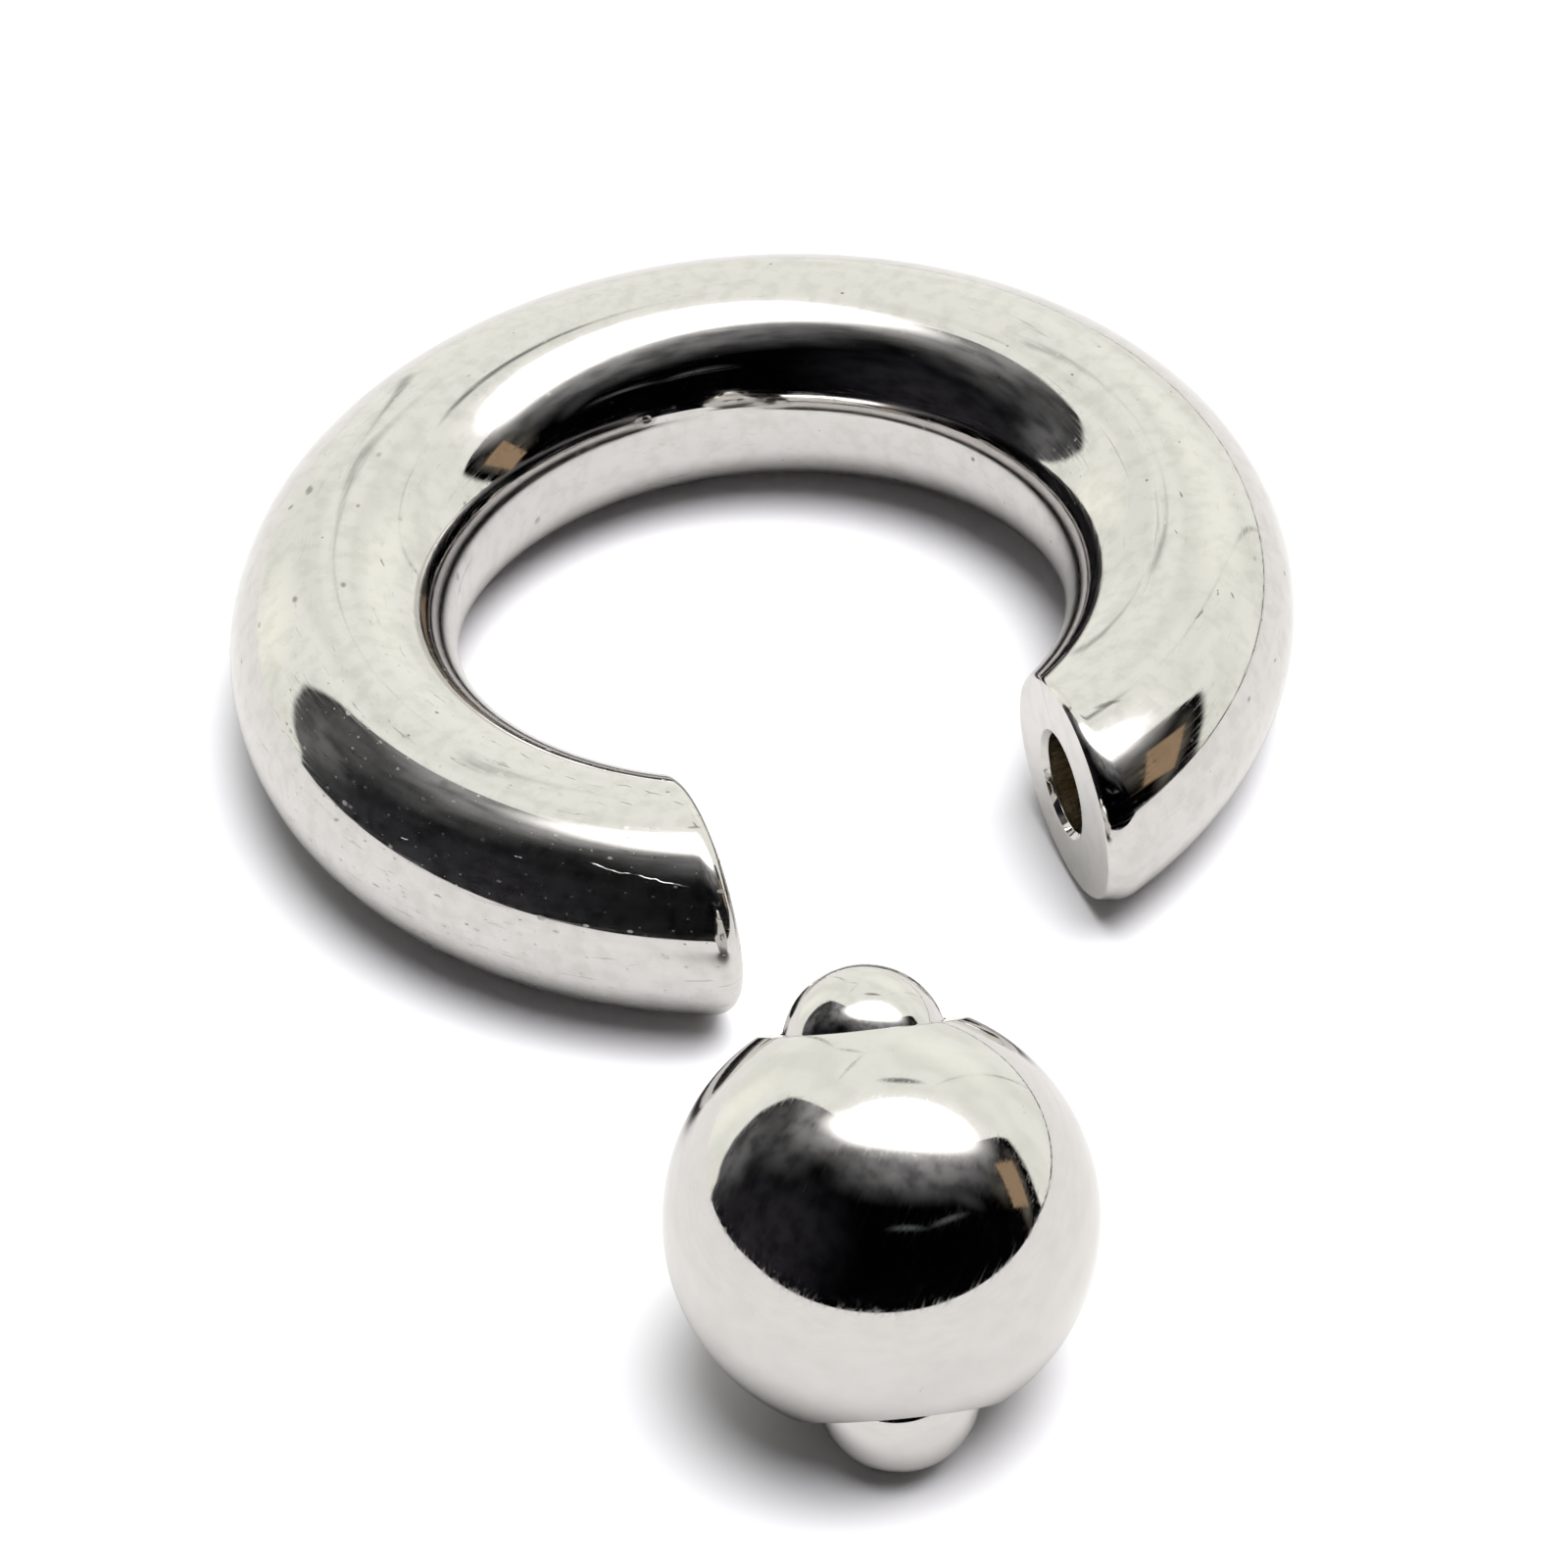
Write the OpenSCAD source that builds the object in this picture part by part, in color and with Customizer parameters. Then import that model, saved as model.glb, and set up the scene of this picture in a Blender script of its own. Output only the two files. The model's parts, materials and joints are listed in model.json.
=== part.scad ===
// Captive bead ring with a snap-fit bead, in millimetres.
// The open ring lies flat, with its gap towards -Y. The bead is off the ring and lies in
// front of the gap, as it does before it is snapped in between the two ends.
// The origin is the ring's centre, half a wire above the surface it lies on.

/* [Ring] */
// Diameter of the round wire
wire_d = 6; // [5:0.1:7]
// Inner diameter of the ring, across its hole
inner_d = 16; // [14:0.5:22]
// Clearance between each end face and the flat of the bead that faces it
flat_clear = 0.3; // [0.15:0.05:0.5]

/* [Sockets] */
// Diameter of the detent socket drilled in each end face
socket_d = 2.65; // [2.2:0.05:3]
// Depth of the socket's straight wall
socket_depth = 2.6; // [1.5:0.1:3]
// Width of the bevel round the socket's mouth
socket_bevel = 0.15; // [0.05:0.05:0.3]
// Full angle of the drill's point at the socket's bottom
drill_angle = 118; // [90:1:140]
// How far the sockets sit inward of the middle of the end faces
socket_inset = 0.35; // [0:0.05:0.5]

/* [Bead] */
// Diameter of the ball
ball_d = 10.4; // [10:0.1:11.5]
// Distance across the two flats of the ball
ball_flats = 9.1; // [8.8:0.1:9.6]
// Width of the bevel where each flat meets the ball
flat_bevel = 0.06; // [0.02:0.02:0.15]

/* [Plungers] */
// Diameter of the two plunger balls
plunger_d = 3.97; // [3.9:0.01:4.1]
// How far each plunger stands out of its flat
plunger_out = 1.5; // [1.3:0.05:1.55]
// Clearance between a plunger and the bore that guides it
plunger_clear = 0.04; // [0.02:0.01:0.05]
// How far a plunger can be pressed in before the spring is solid
plunger_travel = 1.3; // [1:0.05:1.4]

/* [Spring] */
// Diameter of the spring's wire
spring_wire = 0.4; // [0.3:0.05:0.45]
// Diameter of the spring's coil, between the middles of its wire
spring_d = 2.7; // [2.4:0.1:2.9]
// Gap between the closed end turns, and between the spring and each plunger
spring_gap = 0.05; // [0.02:0.01:0.1]

/* [Lie] */
// How far the bead lies in front of its seat in the gap, towards -Y
bead_away = 15.4; // [13:0.2:20]
// How far the bead lies to the side of the gap, towards -X
bead_aside = 5.5; // [0:0.5:10]
// Angle between the bead's bore and the surface it lies on
bead_lean = 50; // [0:1:52]
// Direction in which the raised end of the bore points, from +X
bead_turn = 75; // [0:5:180]

/* [Hidden] */
$fn = 96;
wire_r = wire_d / 2;
ring_r = inner_d / 2 + wire_r;
gap_w = ball_flats + 2 * flat_clear;
face_x = gap_w / 2;
ball_r = ball_d / 2;
flat_h = ball_flats / 2;
flat_r = sqrt(ball_r * ball_r - flat_h * flat_h);
socket_r = socket_d / 2;
plunger_r = plunger_d / 2;
guide_r = plunger_r + plunger_clear;
plunger_h = flat_h + plunger_out - plunger_r;
// Nearest and furthest points of an end face from the ring's middle line
face_near = sqrt(pow(ring_r - wire_r, 2) - face_x * face_x);
face_far = sqrt(pow(ring_r + wire_r, 2) - face_x * face_x);
seat_y = -((face_near + face_far) / 2 - socket_inset);
drill_h = socket_r / tan(drill_angle / 2);
// The bead rests on its ball, or on its lower plunger where that reaches further down
bead_z = max(ball_r, plunger_h * sin(bead_lean) + plunger_r) - wire_r;
coil_r = spring_d / 2;
spring_r = spring_wire / 2;
// The end turns' rims nest round the plungers
spring_h = plunger_h - sqrt(pow(plunger_r + spring_r + spring_gap, 2) - coil_r * coil_r);
closed_pitch = spring_wire + spring_gap;
// As many turns, in quarters, as lie solid with both plungers pressed in, the two closed
// end turns included
spring_turns = floor(4 * (2 * spring_h - 2 * plunger_travel) / spring_wire) / 4;
open_pitch = (2 * spring_h - 2 * closed_pitch) / (spring_turns - 2);
spring_steps = 18;
spring_sides = 6;
// Small overlap with which a cutting solid runs past a face
past = 0.5;
steel = "gainsboro";
spring_steel = "silver";

// One socket, drilled into the end face on the side given by its sign
module socket(side) {
    translate([side * face_x, seat_y, 0])
        rotate([0, side * 90, 0]) {
            translate([0, 0, -past]) cylinder(h = socket_depth + past, r = socket_r);
            translate([0, 0, socket_depth]) cylinder(h = drill_h, r1 = socket_r, r2 = 0);
            translate([0, 0, -past])
                cylinder(h = past + socket_bevel, r1 = socket_r + socket_bevel + past, r2 = socket_r);
        }
}

// The open ring: round wire with two parallel end faces and their sockets
module ring() {
    color(steel)
        difference() {
            rotate_extrude() translate([ring_r, 0]) circle(r = wire_r);
            translate([-face_x, -ring_r - wire_r - past, -wire_r - past])
                cube([gap_w, ring_r + wire_r + past, wire_d + 2 * past]);
            for (side = [-1, 1]) socket(side);
        }
}

// Takes a solid made round the Z axis to where the bead lies
module lie() {
    translate([-bead_aside, seat_y - bead_away, bead_z])
        rotate([0, 90 - bead_lean, bead_turn])
            children();
}

// Profile of the ball's outside, with its two flats and their bevels
module ball_profile() {
    bevel_r = flat_r - flat_bevel;
    bevel_h = sqrt(ball_r * ball_r - pow(flat_r + flat_bevel, 2));
    intersection() {
        circle(r = ball_r);
        polygon([
            [0, -flat_h], [bevel_r, -flat_h], [flat_r + flat_bevel, -bevel_h],
            [ball_r + past, -bevel_h], [ball_r + past, bevel_h],
            [flat_r + flat_bevel, bevel_h], [bevel_r, flat_h], [0, flat_h]
        ]);
    }
}

// The bead's body: a ball with two flats, bored through. The bore closes over the widest
// part of each plunger, which keeps the plunger in.
module bead() {
    color(steel)
        lie()
            difference() {
                rotate_extrude() ball_profile();
                cylinder(h = 2 * plunger_h, r = guide_r, center = true);
                for (side = [-1, 1]) translate([0, 0, side * plunger_h]) sphere(r = guide_r);
            }
}

// A plunger ball, at the end of the bore given by its sign
module plunger(side) {
    color(steel) lie() translate([0, 0, side * plunger_h]) sphere(r = plunger_r);
}

module plunger_upper() plunger(1);

module plunger_lower() plunger(-1);

// Height of the spring's wire after a number of turns, closed at both ends
function spring_z(turn) =
    turn < 1 ? closed_pitch * turn - spring_h :
    turn > spring_turns - 1 ? spring_h - closed_pitch * (spring_turns - turn) :
    closed_pitch + open_pitch * (turn - 1) - spring_h;

// The coil spring that presses the two plungers apart, hidden in the bore
module spring() {
    last = round(spring_turns * spring_steps);
    points = [
        for (i = [0:last], j = [0:spring_sides - 1])
            let (turn = i * spring_turns / last, side = 360 * j / spring_sides)
            let (r = coil_r + spring_r * cos(side))
            [r * cos(360 * turn), r * sin(360 * turn), spring_z(turn) + spring_r * sin(side)]
    ];
    skin = [
        for (i = [0:last - 1], j = [0:spring_sides - 1])
            let (a = i * spring_sides, b = a + spring_sides, k = (j + 1) % spring_sides)
            [a + j, a + k, b + k, b + j]
    ];
    start_cap = [[for (j = [spring_sides - 1:-1:0]) j]];
    end_cap = [[for (j = [0:spring_sides - 1]) last * spring_sides + j]];
    color(spring_steel) lie() polyhedron(points, concat(skin, start_cap, end_cap));
}

ring();
bead();
plunger_upper();
plunger_lower();
spring();
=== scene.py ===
"""Visual model of a captive bead ring with a snap-fit bead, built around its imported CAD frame.

Everything is in metres, in the frame of the CAD model: the open ring lies flat with its gap
towards -Y, and its bead lies in front of the gap, taken off. Sizes and places are measured
on the CAD nodes, so the pieces follow the frame.
"""

import json
import logging
import math
from collections.abc import Iterable, Sequence
from dataclasses import asdict, dataclass
from enum import Enum
from itertools import pairwise

import bpy
import numpy as np
from mathutils import Matrix, Vector


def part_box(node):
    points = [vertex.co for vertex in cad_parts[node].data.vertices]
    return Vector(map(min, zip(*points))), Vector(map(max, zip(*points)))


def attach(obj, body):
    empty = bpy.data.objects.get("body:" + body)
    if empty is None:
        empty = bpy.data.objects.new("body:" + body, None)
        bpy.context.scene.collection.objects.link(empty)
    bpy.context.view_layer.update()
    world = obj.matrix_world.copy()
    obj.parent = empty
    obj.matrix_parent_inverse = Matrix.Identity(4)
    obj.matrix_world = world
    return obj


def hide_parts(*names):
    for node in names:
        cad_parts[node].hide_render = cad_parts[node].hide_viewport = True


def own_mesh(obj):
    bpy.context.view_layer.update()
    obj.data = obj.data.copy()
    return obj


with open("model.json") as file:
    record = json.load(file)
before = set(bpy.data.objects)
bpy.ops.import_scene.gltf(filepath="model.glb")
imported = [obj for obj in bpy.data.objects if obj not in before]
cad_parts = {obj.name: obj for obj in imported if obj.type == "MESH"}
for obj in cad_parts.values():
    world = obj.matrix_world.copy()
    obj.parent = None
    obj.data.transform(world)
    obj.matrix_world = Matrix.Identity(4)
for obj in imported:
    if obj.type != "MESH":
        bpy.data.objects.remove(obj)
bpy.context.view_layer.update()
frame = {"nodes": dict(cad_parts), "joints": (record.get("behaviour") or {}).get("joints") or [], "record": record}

MM = 0.001
SHARP_ANGLE = math.radians(28)
# Places on a CAD node closer than this count as the same, and so do lengths within a share
SAME = 0.01 * MM
SLACK = 1.01

Socket = bpy.types.NodeSocket
Material = bpy.types.Material
Colour = tuple[float, float, float]

log = logging.getLogger("bead_ring")


class Side(Enum):
    """An end of the ring, by the sign of its X."""

    LEFT = -1
    RIGHT = 1


class Place(Enum):
    """An end of the bead's bore, by its sign along the bore's axis."""

    UPPER = 1
    LOWER = -1

    @property
    def node(self) -> str:
        """Names the node of the plunger at this end."""
        return f"plunger_{self.name.lower()}"


# Mesh tools


def node_points(node: str) -> np.ndarray:
    """Gives the vertices of a CAD node.

    Args:
        node: The node's name.

    Returns:
        One row of x, y and z for each vertex.
    """
    vertices = frame["nodes"][node].data.vertices
    flat = np.empty(len(vertices) * 3)
    vertices.foreach_get("co", flat)
    return flat.reshape(-1, 3)


def rounded_path(corners: Sequence[tuple[float, float, float]], steps: int = 5) -> np.ndarray:
    """Rounds the corners of an open outline with arcs.

    Args:
        corners: The first and second coordinate of each corner, and its radius.
        steps: Number of chords in each arc.

    Returns:
        The outline's points, one row each.
    """
    points: list[np.ndarray] = []
    for i, (x, y, radius) in enumerate(corners):
        here = np.array((x, y))
        if radius <= 0 or i in (0, len(corners) - 1):
            points.append(here)
            continue
        back = np.array(corners[i - 1][:2]) - here
        ahead = np.array(corners[i + 1][:2]) - here
        back /= np.linalg.norm(back)
        ahead /= np.linalg.norm(ahead)
        half = math.acos(float(np.clip(back @ ahead, -1, 1))) / 2
        middle = (back + ahead) / np.linalg.norm(back + ahead)
        centre = here + middle * radius / math.sin(half)
        start = here + back * radius / math.tan(half) - centre
        end = here + ahead * radius / math.tan(half) - centre
        for t in np.linspace(0, 1, steps + 1):
            spoke = start * (1 - t) + end * t
            points.append(centre + spoke * radius / np.linalg.norm(spoke))
    return np.array(points)


def new_object(name: str, data: bpy.types.ID) -> bpy.types.Object:
    """Makes an object and links it to the scene.

    Args:
        name: Its name.
        data: Its mesh, light or camera.

    Returns:
        The object.
    """
    made = bpy.data.objects.new(name, data)
    bpy.context.scene.collection.objects.link(made)
    return made


class Skin:
    """The vertices and faces of one closed mesh, made of rows of points."""

    def __init__(self, rows: Sequence[np.ndarray]) -> None:
        """Joins rows of points with faces, each row to the one before it.

        Args:
            rows: The rows, each a closed loop of points. A row of one point is a tip.
        """
        self.points = np.concatenate(rows)
        ends = np.cumsum([len(row) for row in rows]).tolist()
        self.rows = [range(end - len(row), end) for end, row in zip(ends, rows)]
        self.faces: list[tuple[int, ...]] = []
        for first, second in pairwise(self.rows):
            self.join(first, second)

    def join(self, first: range, second: range) -> None:
        """Joins two rows with faces, triangles where one of them is a tip.

        Args:
            first: The vertex numbers of one row.
            second: Those of the next row.
        """
        count = max(len(first), len(second))
        for i in range(count):
            k = (i + 1) % count
            pairs = ((first, i), (first, k), (second, k), (second, i))
            corners = (row[place % len(row)] for row, place in pairs)
            self.faces.append(tuple(dict.fromkeys(corners)))

    def close(self) -> None:
        """Joins the last row to the first, for a skin that is a loop of rows."""
        self.join(self.rows[-1], self.rows[0])

    def cap(self) -> None:
        """Closes both ends with flat faces."""
        self.faces.append(tuple(reversed(self.rows[0])))
        self.faces.append(tuple(self.rows[-1]))

    def make(self, name: str, material: Material) -> bpy.types.Object:
        """Makes the object, smooth apart from its sharp edges.

        Args:
            name: The piece's name.
            material: The finish that covers it.

        Returns:
            The new object, linked to the scene.
        """
        if self.volume() < 0:
            self.faces = [tuple(reversed(face)) for face in self.faces]
        mesh = bpy.data.meshes.new(name)
        mesh.from_pydata(self.points.tolist(), [], self.faces)
        mesh.validate()
        mesh.shade_smooth()
        mesh.set_sharp_from_angle(angle=SHARP_ANGLE)
        mesh.materials.append(material)
        return new_object(name, mesh)

    def volume(self) -> float:
        """Gives the signed volume inside the faces.

        Returns:
            The volume, negative where the faces look inward.
        """
        total = 0.0
        for size in {len(f) for f in self.faces}:
            corners = self.points[np.array([f for f in self.faces if len(f) == size])]
            for k in range(1, size - 1):
                crossed = np.cross(corners[:, k], corners[:, k + 1])
                total += float(np.einsum("ij,ij->", corners[:, 0], crossed)) / 6
        return total


# Shader tools


# The numbers of the Mix node's sockets for colours, several of which share a name
MIX_INPUTS = (0, 6, 7)
MIX_RESULT = 2


class Graph:
    """Adds nodes to a node tree and links them."""

    def __init__(self, tree: bpy.types.NodeTree) -> None:
        """Keeps the tree that it adds to."""
        self.tree = tree

    def fill(self, node: bpy.types.Node, values: dict) -> None:
        """Links or sets inputs of a node.

        Args:
            node: The node.
            values: What each input holds, by the input's name or number: a socket or a value.
        """
        for name, value in values.items():
            if isinstance(value, Socket):
                self.tree.links.new(value, node.inputs[name])
            else:
                node.inputs[name].default_value = value

    def add(self, kind: str, values: dict | None = None, **settings: object) -> bpy.types.Node:
        """Adds one node.

        Args:
            kind: The node's Blender type, without its ShaderNode prefix.
            values: What its inputs hold, as in fill.
            settings: The node's own settings.

        Returns:
            The new node.
        """
        node = self.tree.nodes.new("ShaderNode" + kind)
        for name, setting in settings.items():
            setattr(node, name, setting)
        self.fill(node, values or {})
        return node

    def math(self, operation: str, *values: object) -> Socket:
        """Adds a Math node and gives its result."""
        return self.add("Math", dict(enumerate(values)), operation=operation).outputs[0]

    def times(self, first: object, second: object) -> Socket:
        """Multiplies two numbers."""
        return self.math("MULTIPLY", first, second)

    def vector(self, operation: str, *values: object) -> Socket:
        """Adds a Vector Math node and gives its result, a number where the operation gives one."""
        node = self.add("VectorMath", dict(enumerate(values)), operation=operation)
        return node.outputs["Value" if operation in {"DOT_PRODUCT", "LENGTH"} else "Vector"]

    def scaled(self, vector: object, factor: object) -> Socket:
        """Scales a vector by one factor."""
        node = self.add("VectorMath", {0: vector, "Scale": factor}, operation="SCALE")
        return node.outputs["Vector"]

    def split(self, vector: object) -> tuple[Socket, ...]:
        """Gives the X, Y and Z of a vector."""
        return tuple(self.add("SeparateXYZ", {"Vector": vector}).outputs)

    def join(self, x: object = 0.0, y: object = 0.0, z: object = 0.0) -> Socket:
        """Makes a vector of its X, Y and Z."""
        return self.add("CombineXYZ", {"X": x, "Y": y, "Z": z}).outputs[0]

    def own_place(self) -> Socket:
        """Gives the place in the piece's own frame, in millimetres."""
        return self.scaled(self.add("TexCoord").outputs["Object"], 1 / MM)

    def ramp(self, value: object, start: object, end: object,
             low: object = 0.0, high: object = 1.0) -> Socket:
        """Maps a value smoothly, from low where it is start to high where it is end."""
        values = {"Value": value, "From Min": start, "From Max": end, "To Min": low, "To Max": high}
        return self.add("MapRange", values, interpolation_type="SMOOTHSTEP").outputs["Result"]

    def fade(self, value: object, start: object, end: object) -> Socket:
        """Falls smoothly from 1 to 0 between two values."""
        return self.ramp(value, start, end, 1.0, 0.0)

    def noise(self, vector: object, scale: float, detail: float, flat: bool = False) -> Socket:
        """Gives a noise from 0 to 1, which varies along the first two axes only if it is flat."""
        values = {"Vector": vector, "Scale": scale, "Detail": detail}
        return self.add("TexNoise", values, noise_dimensions="2D" if flat else "3D").outputs["Fac"]

    def mix(self, share: object, first: object, second: object) -> Socket:
        """Mixes two colours.

        Args:
            share: How much of the second colour shows.
            first: The first colour, a socket or three numbers.
            second: The second colour.

        Returns:
            The mixed colour.
        """
        colours = [c if isinstance(c, Socket) else (*c, 1.0) for c in (first, second)]
        node = self.add("Mix", dict(zip(MIX_INPUTS, (share, *colours))), data_type="RGBA")
        return node.outputs[MIX_RESULT]

    def on_oval(self, place: object, middle: Sequence[float], size: tuple[float, float],
                turn: float) -> Socket:
        """Measures places against an oval on a plane.

        Args:
            place: The place, along the plane's first two axes.
            middle: The oval's middle.
            size: Its length and width.
            turn: How far its length is turned, in radians.

        Returns:
            The place in the oval's own axes, at a distance of 1 on its rim.
        """
        values = {
            "Vector": place,
            "Location": (*middle, 0.0),
            "Rotation": (0.0, 0.0, turn),
            "Scale": (size[0] / 2, size[1] / 2, 1.0),
        }
        return self.add("Mapping", values, vector_type="TEXTURE").outputs[0]

    def effect(self, group: bpy.types.NodeTree, vector: Socket, **sizes: float) -> Socket:
        """Places a group, its sizes given by the names of its inputs, and gives its output."""
        values = {"Vector": vector} | {name.capitalize(): size for name, size in sizes.items()}
        return self.add("Group", values, node_tree=group).outputs[0]


class Group(Graph):
    """A node group that works out one value from a place and a few sizes."""

    def __init__(self, name: str, sizes: Iterable[str], output: str) -> None:
        """Starts the group.

        Args:
            name: The group's name.
            sizes: The names of its inputs after the first, the place named Vector.
            output: The name of its output.
        """
        super().__init__(bpy.data.node_groups.new(name, "ShaderNodeTree"))
        kinds = {"Vector": "NodeSocketVector"} | dict.fromkeys(sizes, "NodeSocketFloat")
        for socket, kind in kinds.items():
            self.tree.interface.new_socket(name=socket, in_out="INPUT", socket_type=kind)
        self.tree.interface.new_socket(name=output, in_out="OUTPUT", socket_type="NodeSocketFloat")
        self.given = self.tree.nodes.new("NodeGroupInput").outputs
        self.result = self.tree.nodes.new("NodeGroupOutput").inputs[0]

    def in_cells(self, length: object, width: object, height: object) -> Socket:
        """Measures the place in cells of a length, width and height."""
        return self.vector("DIVIDE", self.given["Vector"], self.join(length, width, height))

    def finished(self, value: Socket) -> bpy.types.NodeTree:
        """Feeds the output and gives the group's tree."""
        self.tree.links.new(value, self.result)
        return self.tree


class Effects:
    """The surface effects that the steel finishes share, each a node group built once."""

    # Hairlines: size of their patches, and the level of noise where a patch starts
    PATCH_SCALE = 0.6
    PATCH_SHIFT = (7.3, 2.1, 4.4)
    BARE_LEVEL = 0.70
    COVER_DROP = 0.3
    PATCH_EDGE = 0.06
    # Specks: length of a cell, least and added size, firm middle, and least and added strength
    CELL_LENGTH = 1.5
    LEAST_SIZE = 0.4
    MORE_SIZE = 1.6
    FIRM = 0.2
    LEAST_SHOWN = 0.3
    MORE_SHOWN = 0.7
    # Haze: levels of noise where it starts and where it is full
    HAZE_LEVELS = (0.35, 0.8)

    def __init__(self) -> None:
        """Builds the node groups."""
        self.hairlines = self.build_hairlines()
        self.specks = self.build_specks()
        self.haze = self.build_haze()
        self.polish = self.build_polish()

    def build_hairlines(self) -> bpy.types.NodeTree:
        """Builds long thin scratches that run along the first axis of their coordinates.

        Returns:
            The group, whose output is 1 in a scratch.
        """
        group = Group("hairlines", ("Length", "Spacing", "Thinness", "Cover"), "Mask")
        given = group.given
        stretched = group.in_cells(given["Length"], given["Spacing"], given["Spacing"])
        off_middle = group.math("SUBTRACT", group.noise(stretched, 1.0, 1.0), 0.5)
        line = group.fade(group.math("ABSOLUTE", off_middle), 0.0, given["Thinness"])
        patch = group.vector("ADD", group.scaled(stretched, self.PATCH_SCALE), self.PATCH_SHIFT)
        start = group.math("SUBTRACT", self.BARE_LEVEL, group.times(given["Cover"], self.COVER_DROP))
        full = group.math("ADD", start, self.PATCH_EDGE)
        return group.finished(group.times(line, group.ramp(group.noise(patch, 1.0, 2.0), start, full)))

    def build_specks(self) -> bpy.types.NodeTree:
        """Builds small marks of uneven size scattered along the first two axes.

        Returns:
            The group, whose output is up to 1 in a speck.
        """
        group = Group("specks", ("Spacing", "Size", "Share"), "Mask")
        spacing = group.given["Spacing"]
        cells = group.in_cells(group.times(spacing, self.CELL_LENGTH), spacing, 1.0)
        speck = group.add("TexVoronoi", {"Vector": cells, "Scale": 1.0}, voronoi_dimensions="2D")
        chance = group.add("SeparateColor", {"Color": speck.outputs["Color"]}).outputs
        cubed = group.math("POWER", chance["Green"], 3.0)
        factor = group.math("MULTIPLY_ADD", cubed, self.MORE_SIZE, self.LEAST_SIZE)
        radius = group.times(group.math("DIVIDE", group.given["Size"], spacing), factor)
        inside = group.fade(speck.outputs["Distance"], group.times(radius, self.FIRM), radius)
        chosen = group.math("LESS_THAN", chance["Red"], group.given["Share"])
        strength = group.math("MULTIPLY_ADD", chance["Blue"], self.MORE_SHOWN, self.LEAST_SHOWN)
        return group.finished(group.times(inside, group.times(chosen, strength)))

    def build_haze(self) -> bpy.types.NodeTree:
        """Builds the roughness of a buffed mirror: soft fine streaks of haze in a clear polish.

        Returns:
            The group, whose output is the roughness.
        """
        group = Group("haze", ("Length", "Grain", "Polish", "Haze"), "Roughness")
        given = group.given
        streaks = group.noise(group.in_cells(given["Length"], given["Grain"], given["Grain"]), 1.0, 1.0)
        return group.finished(group.ramp(streaks, *self.HAZE_LEVELS, given["Polish"], given["Haze"]))

    def build_polish(self) -> bpy.types.NodeTree:
        """Builds the slow unevenness that hand polishing leaves in a mirror.

        Returns:
            The group, whose output is the height, from 0 to 1.
        """
        group = Group("polish", ("Wave",), "Height")
        wave = group.given["Wave"]
        return group.finished(group.noise(group.in_cells(wave, wave, wave), 1.0, 1.0))


def new_material(name: str) -> tuple[Material, Graph, bpy.types.Node]:
    """Starts a material.

    Args:
        name: The material's name.

    Returns:
        The material, the graph of its nodes, and its shader.
    """
    material = bpy.data.materials.new(name)
    material.use_nodes = True
    return material, Graph(material.node_tree), material.node_tree.nodes["Principled BSDF"]


# Finishes


@dataclass(frozen=True)
class Lines:
    """A field of hairlines: length and spacing in millimetres, thinness and cover from 0 to 1."""

    length: float
    spacing: float
    thinness: float
    cover: float


@dataclass(frozen=True)
class Specks:
    """A field of specks: spacing and size in millimetres, and the share of places that has one."""

    spacing: float
    size: float
    share: float


@dataclass(frozen=True)
class Buff:
    """How rough buffed steel is where clear and in its haze, and the haze's size in millimetres."""

    polish: float
    haze: float
    length: float
    grain: float


@dataclass(frozen=True)
class Mark:
    """A single oval mark on the ring, in millimetres along its wire from the back and round it."""

    along: float
    around: float
    length: float
    width: float
    lean: float = 0.0


SCRATCHES = (
    Mark(-27.75, 2.02, 1.2, 0.07, -6),
    Mark(-28.85, 2.2, 1.5, 0.08, -11),
    Mark(-25.64, 2.2, 0.3, 0.08, -9),
    Mark(-22.9, 2.9, 0.25, 0.06, 12),
)
SPOTS = (
    # The left side and its end
    Mark(-10.92, 1.18, 0.5, 0.3),
    Mark(-11.41, 1.59, 0.22, 0.16),
    Mark(-13.83, -1.32, 0.5, 0.09, 13),
    Mark(-24.3, -0.7, 0.5, 0.06, -8),
    Mark(-25.1, -0.56, 0.35, 0.06, -14),
    Mark(-25.9, -0.4, 0.5, 0.05, -10),
    Mark(-27.4, -0.58, 0.5, 0.06, -8),
    Mark(-28.2, -0.43, 0.7, 0.06, -16),
    Mark(-28.95, -0.1, 0.4, 0.06, -20),
    Mark(-27.65, 0.15, 0.5, 0.05, -5),
    Mark(-29.44, 0.71, 0.45, 0.1, 20),
    Mark(-21.0, 3.54, 0.25, 0.1, 30),
    Mark(-22.34, 4.6, 0.3, 0.08, 10),
    Mark(-24.0, 3.94, 0.28, 0.08, -10),
    # The right arm and its end
    Mark(28.73, 0.75, 0.95, 0.2, -22),
    Mark(29.5, 0.16, 0.22, 0.2),
    Mark(23.83, 1.38, 0.18, 0.09),
    Mark(23.63, 1.8, 0.22, 0.11, 30),
    Mark(24.75, 1.15, 0.55, 0.1, -5),
    Mark(20.38, 0.16, 0.35, 0.07, 12),
    Mark(21.93, 0.0, 0.26, 0.06, 18),
    Mark(24.03, 3.83, 0.22, 0.08),
)


@dataclass
class Surface:
    """A steel surface while its material is made.

    place is in the piece's own frame and run along its polish, both in millimetres. marks is
    how stained the steel is, height its unevenness, and inputs what its shader gets.
    """

    graph: Graph
    effects: Effects
    place: Socket
    run: Socket
    ripples: Socket
    marks: Socket
    height: Socket
    inputs: dict[str, object]


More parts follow.
